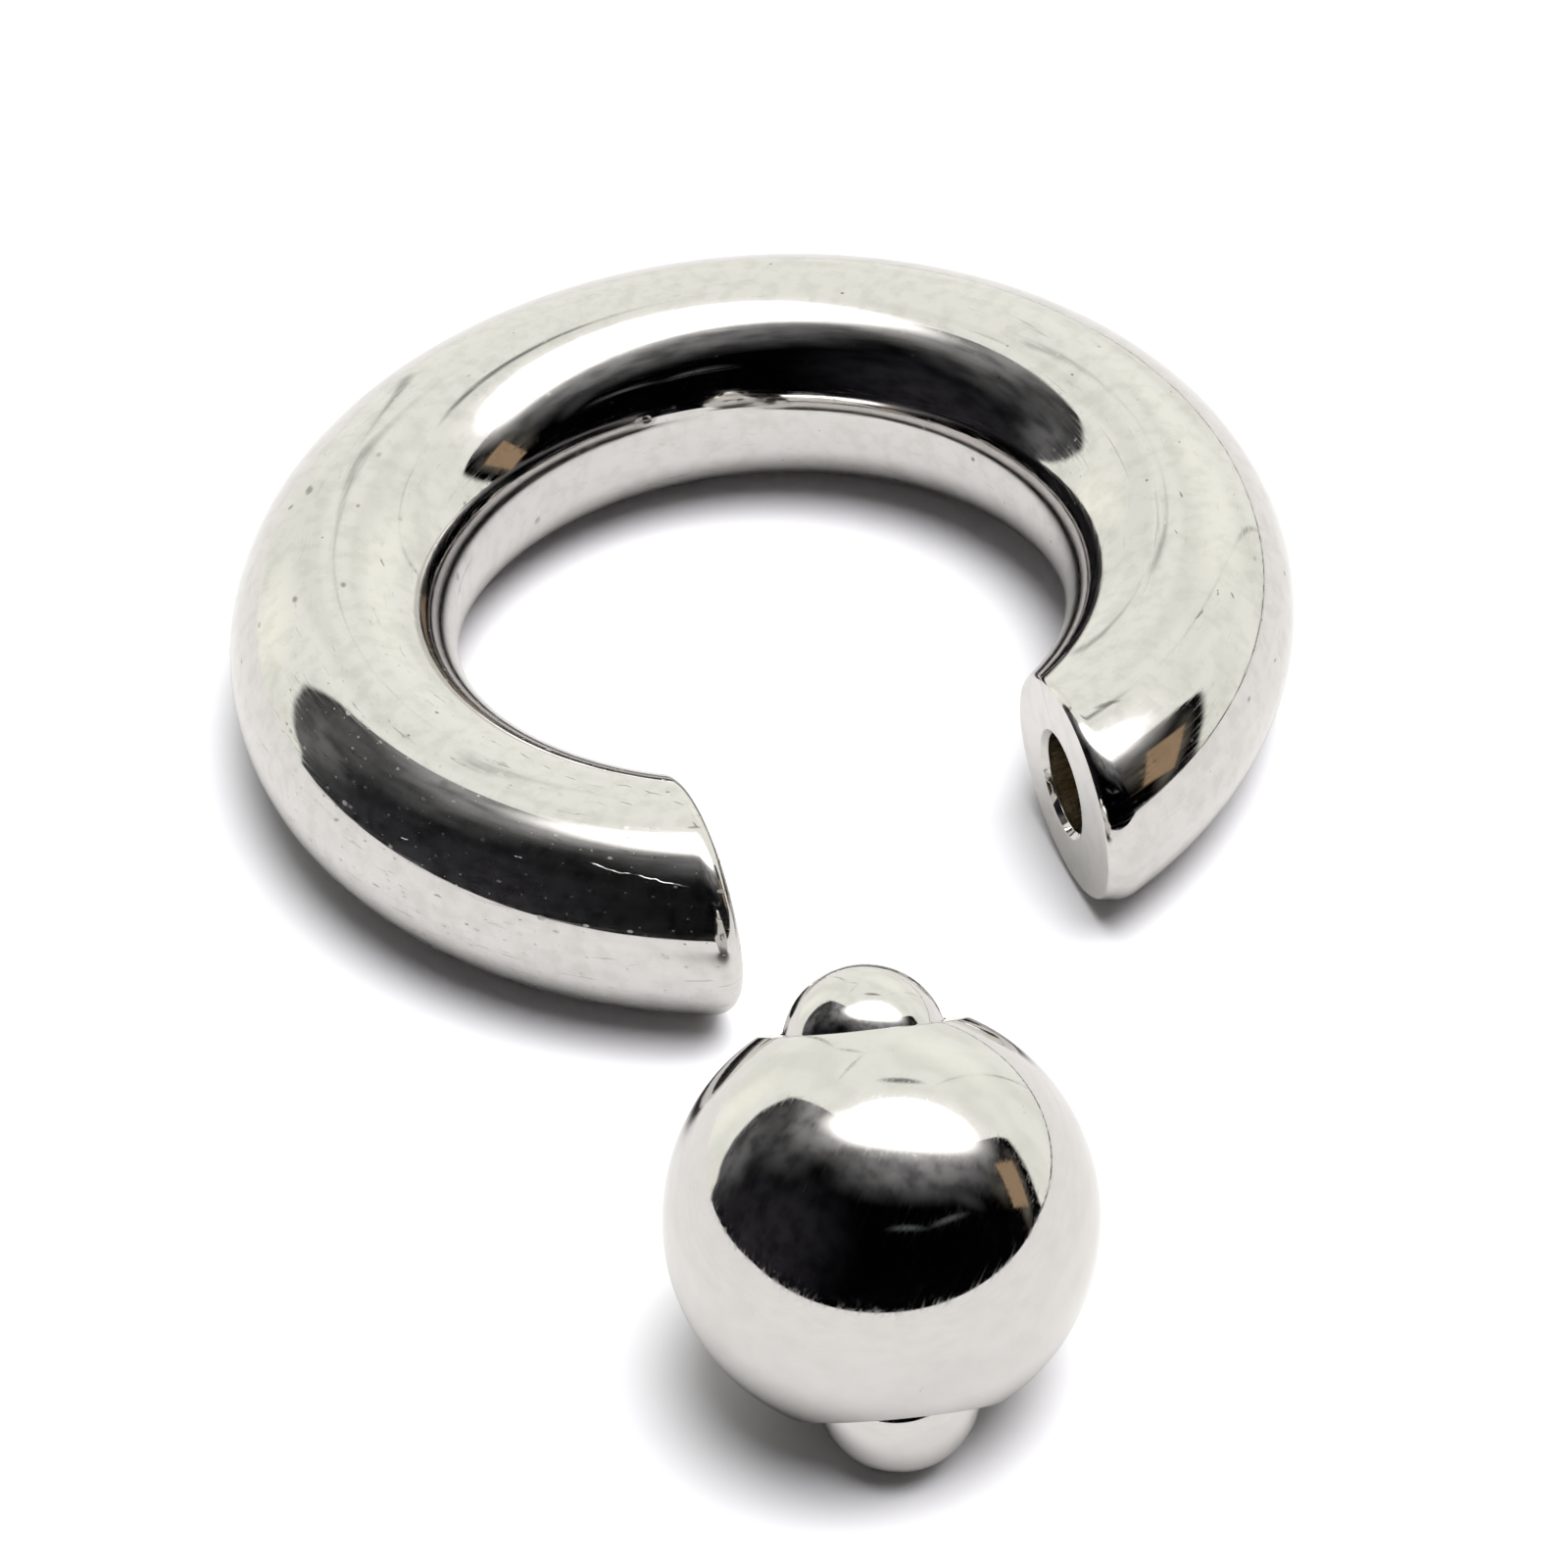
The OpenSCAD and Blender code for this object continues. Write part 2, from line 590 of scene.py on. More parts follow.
@dataclass(frozen=True)
class MirrorSteel:
    """Mirror-polished surgical steel, with a little haze and unevenness.

    Its lengths are in millimetres, apart from the heights of its unevenness in metres.
    """

    name: str
    colour: Colour = (0.66, 0.64, 0.635)
    mottle: Colour = (0.64, 0.622, 0.614)
    stain: Colour = (0.20, 0.185, 0.17)
    cloud: float = 2.0
    cloud_detail: float = 4.0
    cloud_levels: tuple[float, float] = (0.42, 0.68)
    buff: Buff = Buff(polish=0.025, haze=0.14, length=1.6, grain=0.06)
    wave: float = 3.5
    wave_height: float = 1.8e-6
    ripple: float = 0.35
    ripple_height: float = 0.12e-6
    scratches: Lines = Lines(length=6.0, spacing=0.22, thinness=0.035, cover=0.0)
    scratch_tint: float = 0.35
    scratch_rough: float = 0.22
    lay: tuple[float, float, float] = (0.634, 0.389, 0.673)

    def along_polish(self, graph: Graph, place: Socket) -> Socket:
        """Turns places so that the first axis runs along the polish lines.

        Args:
            graph: The material's graph.
            place: The place in the piece's own frame.

        Returns:
            The turned place.
        """
        along = Vector(self.lay).normalized()
        across = along.orthogonal().normalized()
        axes = (along, across, along.cross(across))
        return graph.join(*(graph.vector("DOT_PRODUCT", place, axis) for axis in axes))

    def wear(self, surface: Surface) -> None:
        """Stains the steel where it is marked."""
        steel = surface.inputs["Base Color"]
        surface.inputs["Base Color"] = surface.graph.mix(surface.marks, steel, self.stain)

    def material(self, effects: Effects) -> Material:
        """Makes the material.

        Args:
            effects: The shared node groups.

        Returns:
            The material.
        """
        material, graph, shader = new_material(self.name)
        place = graph.own_place()
        run = self.along_polish(graph, place)
        scratches = graph.effect(effects.hairlines, run, **asdict(self.scratches))
        rough = graph.effect(effects.haze, run, **asdict(self.buff))
        waves = graph.effect(effects.polish, place, wave=self.wave)
        ripples = graph.effect(effects.polish, place, wave=self.ripple)
        cloud = graph.ramp(graph.noise(place, self.cloud, self.cloud_detail), *self.cloud_levels)
        surface = Surface(
            graph=graph,
            effects=effects,
            place=place,
            run=run,
            ripples=ripples,
            marks=graph.times(scratches, self.scratch_tint),
            height=graph.math("MULTIPLY_ADD", ripples, self.ripple_height / self.wave_height, waves),
            inputs={
                "Metallic": 1.0,
                "Base Color": graph.mix(cloud, self.colour, self.mottle),
                "Roughness": graph.math("MULTIPLY_ADD", scratches, self.scratch_rough, rough),
            },
        )
        self.wear(surface)
        bump = graph.add("Bump", {"Distance": self.wave_height, "Height": surface.height})
        graph.fill(shader, surface.inputs | {"Normal": bump.outputs["Normal"]})
        return material


@dataclass(frozen=True, kw_only=True)
class RingSteel(MirrorSteel):
    """The ring's steel: scratched, specked, dulled by a thin film, and brownish in its sockets.

    film_front and film_left say where the film starts and where it is full, along Y and X, as
    shares of the ring's radius. Its levels and least_film make it uneven.
    """

    ring: "Ring"
    name: str = "ring_steel"
    mottle: Colour = (0.60, 0.584, 0.572)
    scratches: Lines = Lines(length=6.0, spacing=0.22, thinness=0.035, cover=0.1)
    nicks: Lines = Lines(length=0.8, spacing=0.11, thinness=0.06, cover=0.22)
    nick_tint: float = 0.6
    pits: Specks = Specks(spacing=1.3, size=0.085, share=0.4)
    dust: Specks = Specks(spacing=0.3, size=0.045, share=0.8)
    dust_tint: float = 0.25
    dust_rough: float = 0.55
    least_wear: float = 0.25
    spot_tint: float = 0.7
    groove: float = 7e-6
    ragged: float = 0.2
    firm: float = 0.4
    bore_stain: Colour = (0.47, 0.40, 0.29)
    bore_rough: float = 0.2
    bore_slack: float = 0.1
    bore_fade: float = 0.2
    film_front: tuple[float, float] = (0.4, -0.5)
    film_left: tuple[float, float] = (0.5, -0.2)
    film_levels: tuple[float, float] = (0.3, 0.62)
    least_film: float = 0.35
    film_rough: float = 0.5
    film_ior: float = 1.42

    def along_polish(self, graph: Graph, place: Socket) -> Socket:
        """Turns places on the ring into places on its straightened wire.

        Args:
            graph: The material's graph.
            place: The place in the ring's own frame.

        Returns:
            The distance along the wire, then the distance round it.
        """
        ring_r, wire_r = self.ring.ring_r / MM, self.ring.wire_r / MM
        x, y, z = graph.split(place)
        reach = graph.math("SQRT", graph.math("ADD", graph.times(x, x), graph.times(y, y)))
        along = graph.math("ARCTAN2", x, y)
        around = graph.math("ARCTAN2", graph.math("SUBTRACT", reach, ring_r), z)
        return graph.join(graph.times(along, ring_r), graph.times(around, wire_r))

    def marked(self, graph: Graph, run: Socket, marks: Iterable[Mark]) -> Socket:
        """Finds single marks on the ring.

        Args:
            graph: The material's graph.
            run: The place along the wire and round it.
            marks: The marks.

        Returns:
            1 inside a mark, fading to 0 at its rim.
        """
        found: object = 0.0
        for mark in marks:
            size = (mark.length, mark.width)
            on_mark = graph.on_oval(run, (mark.along, mark.around), size, math.radians(mark.lean))
            inside = graph.fade(graph.vector("LENGTH", on_mark), self.firm, 1.0)
            found = graph.math("MAXIMUM", found, inside)
        return found

    def film(self, surface: Surface) -> Socket:
        """Finds where a thin greasy film from handling dulls the ring, most at its left end.

        Args:
            surface: The ring's surface.

        Returns:
            How much film there is, from 0 to 1.
        """
        graph, ring_r = surface.graph, self.ring.ring_r / MM
        x, y, _ = graph.split(surface.place)
        front = graph.ramp(y, *(share * ring_r for share in self.film_front))
        left = graph.ramp(x, *(share * ring_r for share in self.film_left))
        uneven = graph.ramp(surface.ripples, *self.film_levels, self.least_film, 1.0)
        return graph.times(graph.times(front, left), uneven)

    def drilled(self, surface: Surface) -> Socket:
        """Finds the drilled walls of the ring's sockets.

        Args:
            surface: The ring's surface.

        Returns:
            1 inside a socket, and 0 on the rest of the ring.
        """
        graph, ring = surface.graph, self.ring
        x, y, z = graph.split(graph.vector("SUBTRACT", surface.place, (0, ring.socket_y / MM, 0)))
        off_axis = graph.vector("LENGTH", graph.join(0.0, y, z))
        near = graph.math("LESS_THAN", off_axis, ring.mouth_r / MM)
        run = graph.math("ABSOLUTE", x)
        start = ring.face_x / MM + self.bore_slack
        deep = graph.ramp(run, start, start + self.bore_fade)
        ended = graph.math("LESS_THAN", run, start + ring.tip_depth / MM)
        return graph.times(graph.times(near, ended), deep)

    def wear(self, surface: Surface) -> None:
        """Adds the film, dust, pits, nicks, spots and grooves, and browns the sockets.

        Args:
            surface: The ring's surface.
        """
        graph, run, effects, inputs = surface.graph, surface.run, surface.effects, surface.inputs
        film = self.film(surface)
        worn = graph.math("MULTIPLY_ADD", film, 1 - self.least_wear, self.least_wear)
        pits = graph.effect(effects.specks, run, **asdict(self.pits))
        dust = graph.times(graph.effect(effects.specks, run, **asdict(self.dust)), worn)
        nicks = graph.effect(effects.hairlines, run, **asdict(self.nicks))
        wobble = graph.times(graph.math("SUBTRACT", surface.ripples, 0.5), self.ragged)
        wavy = graph.vector("ADD", run, graph.join(0.0, wobble))
        specks = graph.math("MULTIPLY_ADD", dust, self.dust_tint, pits)
        nicks = graph.times(nicks, graph.times(worn, self.nick_tint))
        spots = graph.times(self.marked(graph, wavy, SPOTS), self.spot_tint)
        for marks in (specks, nicks, spots):
            surface.marks = graph.math("MAXIMUM", surface.marks, marks)
        super().wear(surface)
        grooves = self.marked(graph, wavy, SCRATCHES)
        depth = -self.groove / self.wave_height
        surface.height = graph.math("MULTIPLY_ADD", grooves, depth, surface.height)
        drilled = self.drilled(surface)
        # The socket walls are coloured darker and browner than the rest of the ring.
        inputs["Base Color"] = graph.mix(drilled, inputs["Base Color"], self.bore_stain)
        for mask, more in ((dust, self.dust_rough), (drilled, self.bore_rough)):
            inputs["Roughness"] = graph.math("MULTIPLY_ADD", mask, more, inputs["Roughness"])
        inputs |= {"Coat Weight": film, "Coat Roughness": self.film_rough, "Coat IOR": self.film_ior}


@dataclass(frozen=True)
class SpringSteel:
    """Drawn spring wire, dull and finely streaked along its length."""

    name: str = "spring_steel"
    colour: Colour = (0.46, 0.45, 0.44)
    oiled: Colour = (0.30, 0.28, 0.25)
    streaks: Lines = Lines(length=1.2, spacing=0.05, thinness=0.1, cover=0.8)
    buff: Buff = Buff(polish=0.24, haze=0.42, length=0.3, grain=0.08)

    def material(self, effects: Effects) -> Material:
        """Makes the material.

        Args:
            effects: The shared node groups.

        Returns:
            The material.
        """
        material, graph, shader = new_material(self.name)
        place = graph.own_place()
        streaks = graph.effect(effects.hairlines, place, **asdict(self.streaks))
        graph.fill(shader, {
            "Metallic": 1.0,
            "Base Color": graph.mix(streaks, self.colour, self.oiled),
            "Roughness": graph.effect(effects.haze, place, **asdict(self.buff)),
        })
        return material


# The object


@dataclass
class Edge:
    """How an end face's rim is rounded: a broad roll, then a small radius.

    The roll starts along the wire and turns through roll_angle degrees, and the small
    radius turns the rest of the way into the face. The rounding is full at the wire's outer
    side, turned down by lean degrees, and shrinks to inner_share on the other side.
    """

    roll_r: float
    roll_angle: float
    small_r: float
    inner_share: float = 1.0
    lean: float = 0.0

    def profile(self, steps: int = 14) -> list[tuple[float, float]]:
        """Works out the rim's profile.

        Args:
            steps: Number of chords in the roll. The small radius has half as many.

        Returns:
            The distance from the face's plane and the depth below the wire's surface of each
            point, from the face outward.
        """
        angle = math.radians(self.roll_angle)
        reach = self.roll_r * math.sin(angle) + self.small_r * (1 - math.sin(angle))
        points = []
        for a in np.linspace(0, angle, steps, endpoint=False):
            points.append((reach - self.roll_r * math.sin(a), self.roll_r * (1 - math.cos(a))))
        drop = self.roll_r * (1 - math.cos(angle))
        left = self.roll_r * math.sin(angle)
        for a in np.linspace(angle, math.pi / 2, steps // 2):
            run = left + self.small_r * (math.sin(a) - math.sin(angle))
            depth = drop + self.small_r * (math.cos(angle) - math.cos(a))
            points.append((max(reach - run, 0.0), depth))
        return points[::-1]

    def share(self, section: np.ndarray) -> np.ndarray:
        """Gives how much of the rounding there is round the wire.

        Args:
            section: Angles round the wire, 0 at its side furthest from the ring's middle.

        Returns:
            The share for each angle.
        """
        outward = (1 + np.cos(section + math.radians(self.lean))) / 2
        eased = outward * outward * (3 - 2 * outward)
        return self.inner_share + (1 - self.inner_share) * eased


@dataclass
class Ring:
    """The open ring of round wire, with a drilled socket in each end face."""

    name: str
    wire_r: float
    ring_r: float
    face_x: float
    socket_y: float
    socket_r: float
    mouth_r: float
    wall_depth: float
    tip_depth: float
    edges: dict[Side, Edge]
    around: int = 160
    along: int = 330
    last_run: float = 1.5 * MM
    last_rows: int = 9
    # Radii in the socket: at its bottom, where its bevel starts and at its mouth
    bottom_edge: float = 0.05 * MM
    bevel_edge: float = 0.04 * MM
    mouth_edge: float = 0.03 * MM
    # Rows of the face: a narrow one round the mouth, then shares of the way to the rim
    mouth_rim: float = 0.12 * MM
    face_rows: tuple[float, ...] = (0.3, 0.6, 0.85, 0.96)

    @classmethod
    def from_frame(cls) -> "Ring":
        """Measures the ring on its CAD node.

        Returns:
            The ring, with the CAD model's sizes.
        """
        points = node_points("ring")
        wire_r = float(points[:, 2].max())
        ring_r = float(np.hypot(points[:, 0], points[:, 1]).max()) - wire_r
        mount = next(m for m in frame["record"]["mounts"] if m["name"] == "socket_right")
        socket_y = mount["pos_m"][1]
        socket_r = mount["dims"]["r_mm"] * MM
        near_gap = points[points[:, 1] < -(ring_r - wire_r) / 2]
        face_x = float(np.abs(near_gap[:, 0]).min())
        right = near_gap[near_gap[:, 0] > 0]
        right = right[right[:, 0] < face_x + 1.25 * wire_r]
        off_axis = np.hypot(right[:, 1] - socket_y, right[:, 2])
        on_face = np.abs(right[:, 0] - face_x) < SAME
        wall = right[np.abs(off_axis - socket_r) < SAME]
        return cls(
            name="ring_body",
            wire_r=wire_r,
            ring_r=ring_r,
            face_x=face_x,
            socket_y=socket_y,
            socket_r=socket_r,
            mouth_r=float(off_axis[on_face].min()),
            wall_depth=float(wall[:, 0].max()) - face_x,
            tip_depth=float(right[off_axis < socket_r * SLACK][:, 0].max()) - face_x,
            edges={
                Side.LEFT: Edge(
                    roll_r=0.8 * MM, roll_angle=75, small_r=0.2 * MM, inner_share=0.3, lean=25,
                ),
                Side.RIGHT: Edge(
                    roll_r=1.4 * MM, roll_angle=42, small_r=0.07 * MM, inner_share=0.12, lean=30,
                ),
            },
        )

    def section(self) -> np.ndarray:
        """Gives the angles round the wire of a row's points."""
        return np.linspace(0, 2 * math.pi, self.around, endpoint=False)

    def at_plane(self, side: Side, run: float, depth: float = 0.0) -> np.ndarray:
        """Cuts the ring's wire near one of its end faces.

        Args:
            side: The end.
            run: The distance from the end face, where the rounding is full.
            depth: The depth below the wire's surface, where the rounding is full.

        Returns:
            The row of points round the wire.
        """
        section = self.section()
        share = self.edges[side].share(section)
        x = self.face_x + run * share
        wire_r = self.wire_r - depth * share
        reach = self.ring_r + wire_r * np.cos(section)
        y = -np.sqrt(reach**2 - x**2)
        return np.column_stack([side.value * x, y, wire_r * np.sin(section)])

    def end_rows(self, side: Side) -> list[np.ndarray]:
        """Works out the rows of one end: its socket, face and rounded rim.

        Args:
            side: The end.

        Returns:
            The rows, from the socket's tip outward.
        """
        rim_profile = self.edges[side].profile()
        rim = self.at_plane(side, *rim_profile[0])
        angle = np.arctan2(rim[:, 2], rim[:, 1] - self.socket_y)
        bevel = self.mouth_r - self.socket_r
        bore = rounded_path((
            (self.socket_r * 0.02, self.tip_depth, 0),
            (self.socket_r, self.wall_depth, self.bottom_edge),
            (self.socket_r, bevel, self.bevel_edge),
            (self.mouth_r, 0.0, self.mouth_edge),
            (self.mouth_r + self.mouth_rim, 0.0, 0),
        ))
        rows = [np.array([[side.value * (self.face_x + self.tip_depth), self.socket_y, 0.0]])]
        for radius, depth in bore:
            x = np.full_like(angle, side.value * (self.face_x + depth))
            y = self.socket_y + radius * np.cos(angle)
            rows.append(np.column_stack([x, y, radius * np.sin(angle)]))
        mouth = rows[-1]
        rows += [mouth * (1 - share) + rim * share for share in self.face_rows]
        rows += [self.at_plane(side, *point) for point in rim_profile]
        last = rim_profile[-1][0]
        runs = np.linspace(last, last + self.last_run, self.last_rows)
        return rows + [self.at_plane(side, run) for run in runs[1:-1]]

    def middle_rows(self) -> list[np.ndarray]:
        """Works out the rows of the wire between its two ends.

        Returns:
            The rows, from the left end round the back to the right end.
        """
        section = self.section()
        reach = self.ring_r + self.wire_r * np.cos(section)
        turns = []
        for side, edge in self.edges.items():
            last_row = self.at_plane(side, edge.profile()[-1][0] + self.last_run)
            turns.append(np.arcsin(np.abs(last_row[:, 0]) / reach))
        rows = []
        for share in np.linspace(0, 1, self.along):
            turn = turns[0] * (1 - share) + (2 * math.pi - turns[1]) * share
            x, y = -reach * np.sin(turn), -reach * np.cos(turn)
            rows.append(np.column_stack([x, y, self.wire_r * np.sin(section)]))
        return rows

    def build(self, material: Material) -> bpy.types.Object:
        """Builds the ring.

        Args:
            material: Its finish.

        Returns:
            The finished piece.
        """
        left, right = self.end_rows(Side.LEFT), self.end_rows(Side.RIGHT)
        piece = Skin(left + self.middle_rows() + right[::-1]).make(self.name, material)
        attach(piece, "ring")
        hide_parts("ring")
        return piece


@dataclass
class Bore:
    """The line of the bead's bore, along which its plungers and spring lie."""

    centre: Vector
    axis: Vector

    @classmethod
    def from_frame(cls) -> "Bore":
        """Measures the bore's line on the CAD nodes.

        Returns:
            The middle of the bead, and the direction of its raised end.
        """
        low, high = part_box("bead")
        press = next(j for j in frame["joints"] if j["name"] == "plunger_upper_press")
        return cls(centre=(low + high) / 2, axis=-Vector(press["axis"]).normalized())

    def placed(self, points: np.ndarray) -> np.ndarray:
        """Takes points made round the Z axis to the bore's line.

        Args:
            points: The points, one row each.

        Returns:
            The points where the bead lies.
        """
        turn = np.array(Vector((0, 0, 1)).rotation_difference(self.axis).to_matrix())
        return points @ turn.T + np.array(self.centre)

    def split(self, points: np.ndarray) -> tuple[np.ndarray, np.ndarray]:
        """Measures points against the bore's line.

        Args:
            points: The points, one row each.

        Returns:
            Their distances from the line, and their places along it.
        """
        from_centre = points - np.array(self.centre)
        along = from_centre @ np.array(self.axis)
        return np.linalg.norm(from_centre - np.outer(along, np.array(self.axis)), axis=1), along


def lathe_rows(profile: np.ndarray, bore: Bore, around: int) -> list[np.ndarray]:
    """Turns a profile round the bore's line.

    Args:
        profile: Radius and height of each point.
        bore: The line.
        around: Number of points in each row.

    Returns:
        One row of points for each point of the profile, a tip where its radius is 0.
    """
    turn = np.linspace(0, 2 * math.pi, around, endpoint=False)
    rows = []
    for radius, height in profile:
        count = 1 if radius <= 0 else around
        circle = np.stack([np.cos(turn), np.sin(turn)], axis=1)[:count] * radius
        rows.append(bore.placed(np.column_stack([circle, np.full(count, height)])))
    return rows


@dataclass
class Bead:
    """The ball with two flats, bored through, that snaps in between the ring's ends."""

    name: str
    bore: Bore
    ball_r: float
    flat_h: float
    guide_r: float
    plunger_h: float
    edge_r: float = 0.12 * MM
    around: int = 224
    wall_steps: int = 4
    seat_steps: int = 7
    edge_steps: int = 8
    ball_steps: int = 70
    # Rows of the flat, as shares of the way from the bore to the edge
    flat_rows: tuple[float, ...] = (0.04, 0.5, 0.94)

    @classmethod
    def from_frame(cls, bore: Bore, plunger_h: float) -> "Bead":
        """Measures the bead on its CAD node.

        Args:
            bore: The line of its bore.
            plunger_h: How far the plungers' middles are from the bead's middle.

        Returns:
            The bead, with the CAD model's sizes.
        """
        points = node_points("bead")
        off_line, along = bore.split(points)
        inside = (off_line < off_line.max() / 2) & (np.abs(along) < plunger_h * SLACK)
        return cls(
            name="bead_body",
            bore=bore,
            ball_r=float(np.ptp(points[:, 0])) / 2,
            flat_h=float(np.abs(along).max()),
            guide_r=float(off_line[inside].max()),
            plunger_h=plunger_h,
        )

    def half_profile(self) -> np.ndarray:
        """Works out the profile of the raised half, from the bore's middle to the equator.

        Returns:
            The radius and height of each point.
        """
        lip = math.sqrt(self.guide_r**2 - (self.flat_h - self.plunger_h) ** 2)
        seat_end = math.asin((self.flat_h - self.plunger_h) / self.guide_r)
        bore_wall = [(self.guide_r, h) for h in np.linspace(0, self.plunger_h, self.wall_steps)]
        seat = [
            (self.guide_r * math.cos(a), self.plunger_h + self.guide_r * math.sin(a))
            for a in np.linspace(0, seat_end, self.seat_steps)[1:-1]
        ]
        rim_angle = math.acos(self.flat_h / self.ball_r)
        ball_angle = rim_angle + self.edge_r / self.ball_r
        corner_r = self.ball_r * math.sin(rim_angle)
        start = (self.ball_r * math.sin(ball_angle), self.ball_r * math.cos(ball_angle))
        edge = rounded_path((
            (lip, self.flat_h, 0),
            (corner_r - self.edge_r, self.flat_h, 0),
            (corner_r, self.flat_h, self.edge_r * 1.2),
            (*start, 0),
        ), self.edge_steps)
        flat = [(lip + (edge[1][0] - lip) * share, self.flat_h) for share in self.flat_rows]
        ball = [
            (self.ball_r * math.sin(a), self.ball_r * math.cos(a))
            for a in np.linspace(ball_angle, math.pi / 2, self.ball_steps)[1:]
        ]
        return np.array([*bore_wall, *seat, edge[0], *flat, *edge[1:], *ball])

    def build(self, material: Material) -> bpy.types.Object:
        """Builds the bead's body.

        Args:
            material: Its finish.

        Returns:
            The finished piece.
        """
        upper = self.half_profile()
        lower = upper[-2:0:-1] * (1, -1)
        skin = Skin(lathe_rows(np.concatenate([upper, lower]), self.bore, self.around))
        skin.close()
        piece = skin.make(self.name, material)
        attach(piece, "bead")
        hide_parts("bead")
        return piece


@dataclass
class Plunger:
    """A sprung ball that stands out of one flat of the bead."""

    place: Place
    bore: Bore
    radius: float
    height: float
    around: int = 144
    steps: int = 72

    @classmethod
    def from_frame(cls, bore: Bore, place: Place) -> "Plunger":
        """Measures a plunger on its CAD node.

        Args:
            bore: The line of the bead's bore.
            place: Which plunger it is.

        Returns:
            The plunger, with the CAD model's sizes.
        """
        low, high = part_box(place.node)
        middles = [sum(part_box(end.node), Vector()) / 2 for end in Place]
        return cls(
            place=place,
            bore=bore,
            radius=max(high - low) / 2,
            height=(middles[0] - middles[1]).length / 2,
        )

    def build(self, material: Material) -> bpy.types.Object:
        """Builds the plunger.

        Args:
            material: Its finish.

        Returns:
            The finished piece.
        """
        angles = np.linspace(0, math.pi, self.steps + 1)
        radii = self.radius * np.sin(angles)
        radii[[0, -1]] = 0
        heights = self.place.value * self.height + self.radius * np.cos(angles)
        rows = lathe_rows(np.column_stack([radii, heights]), self.bore, self.around)
        node = self.place.node
        piece = Skin(rows).make(node + "_ball", material)
        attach(piece, node)
        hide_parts(node)
        return piece


# Gap between the spring's closed end turns
SPRING_GAP = 0.05 * MM


@dataclass
class Spring:
    """The coil spring in the bead's bore, in two halves."""

    bore: Bore
    wire_r: float
    coil_r: float
    half_height: float
    closed_pitch: float
    turns: float = 4.75
    steps: int = 40
    sides: int = 12

    @classmethod
    def from_frame(cls, bore: Bore) -> "Spring":
        """Measures the spring on its CAD node.

        Args:
            bore: The line of the bead's bore.

        Returns:
            The spring, with the CAD model's sizes.
        """
        off_line, along = bore.split(node_points("spring"))
        wire_r = float(off_line.max() - off_line.min()) / 2
        return cls(
            bore=bore,
            wire_r=wire_r,
            coil_r=float(off_line.max() + off_line.min()) / 2,
            half_height=float(np.abs(along).max()) - wire_r,
            closed_pitch=2 * wire_r + SPRING_GAP,
        )

    def height(self, turn: float) -> float:
        """Gives the height of the wire's middle after a number of turns.

        Args:
            turn: Turns from the lower end.

        Returns:
            The height along the bore, from the bead's middle.
        """
        last = self.turns - 1
        if turn < 1:
            return self.closed_pitch * turn - self.half_height
        if turn > last:
            return self.half_height - self.closed_pitch * (self.turns - turn)
        span = 2 * (self.half_height - self.closed_pitch)
        return self.closed_pitch - self.half_height + span * (turn - 1) / (last - 1)

    def wire_row(self, turn: float) -> np.ndarray:
        """Works out the section of the wire after a number of turns.

        Args:
            turn: Turns from the lower end.

        Returns:
            The row of points round the wire.
        """
        side = np.linspace(0, 2 * math.pi, self.sides, endpoint=False)
        reach = self.coil_r + self.wire_r * np.cos(side)
        angle = 2 * math.pi * turn
        x, y = reach * math.cos(angle), reach * math.sin(angle)
        height = self.height(turn) + self.wire_r * np.sin(side)
        return self.bore.placed(np.column_stack([x, y, height]))

    def build_half(self, place: Place, material: Material) -> bpy.types.Object:
        """Builds the half of the spring next to one plunger.

        Args:
            place: The plunger that it presses out.
            material: Its finish.

        Returns:
            The finished piece.
        """
        middle = self.turns / 2
        start, end = (0.0, middle) if place is Place.LOWER else (middle, self.turns)
        turns = np.linspace(start, end, round((end - start) * self.steps) + 1)
        skin = Skin([self.wire_row(float(turn)) for turn in turns])
        skin.cap()
        piece = skin.make(f"spring_{place.name.lower()}_half", material)
        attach(piece, "bead")
        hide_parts("spring")
        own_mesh(piece)
        return piece


# The studio


@dataclass
class PhotoCamera:
    """The camera, at the photograph's viewing angle. roll is in degrees."""

    place: Vector
    aim: Vector
    roll: float
    focal_pixels: float
    frame_pixels: float = 1600
    sensor_mm: float = 36
    nearest: float = 10 * MM

    def build(self) -> None:
        """Makes the camera and gives it to the scene."""
        data = bpy.data.cameras.new("photo_camera")
        data.sensor_width = self.sensor_mm
        data.lens = self.focal_pixels / self.frame_pixels * self.sensor_mm
        data.clip_start = self.nearest
        camera = new_object("photo_camera", data)
        look = (self.aim - self.place).to_track_quat("-Z", "Y").to_matrix()
        turned = look @ Matrix.Rotation(-math.radians(self.roll), 3, "Z")
        camera.matrix_world = Matrix.Translation(self.place) @ turned.to_4x4()
        bpy.context.scene.camera = camera


@dataclass(frozen=True)
class Card:
    """A soft-edged oval card in the room round the table, as seen from the object.

    It lies between two places on a plan of the room. A place there is its angle from straight
    overhead, in degrees, along +X and +Y. The card is plain up to the share full of its width,
    and fades out from there. One with corners is a rectangle instead of an oval.
    """

    start: tuple[float, float]
    end: tuple[float, float]
    width: float
    full: float
    colour: Colour
    corners: bool = False


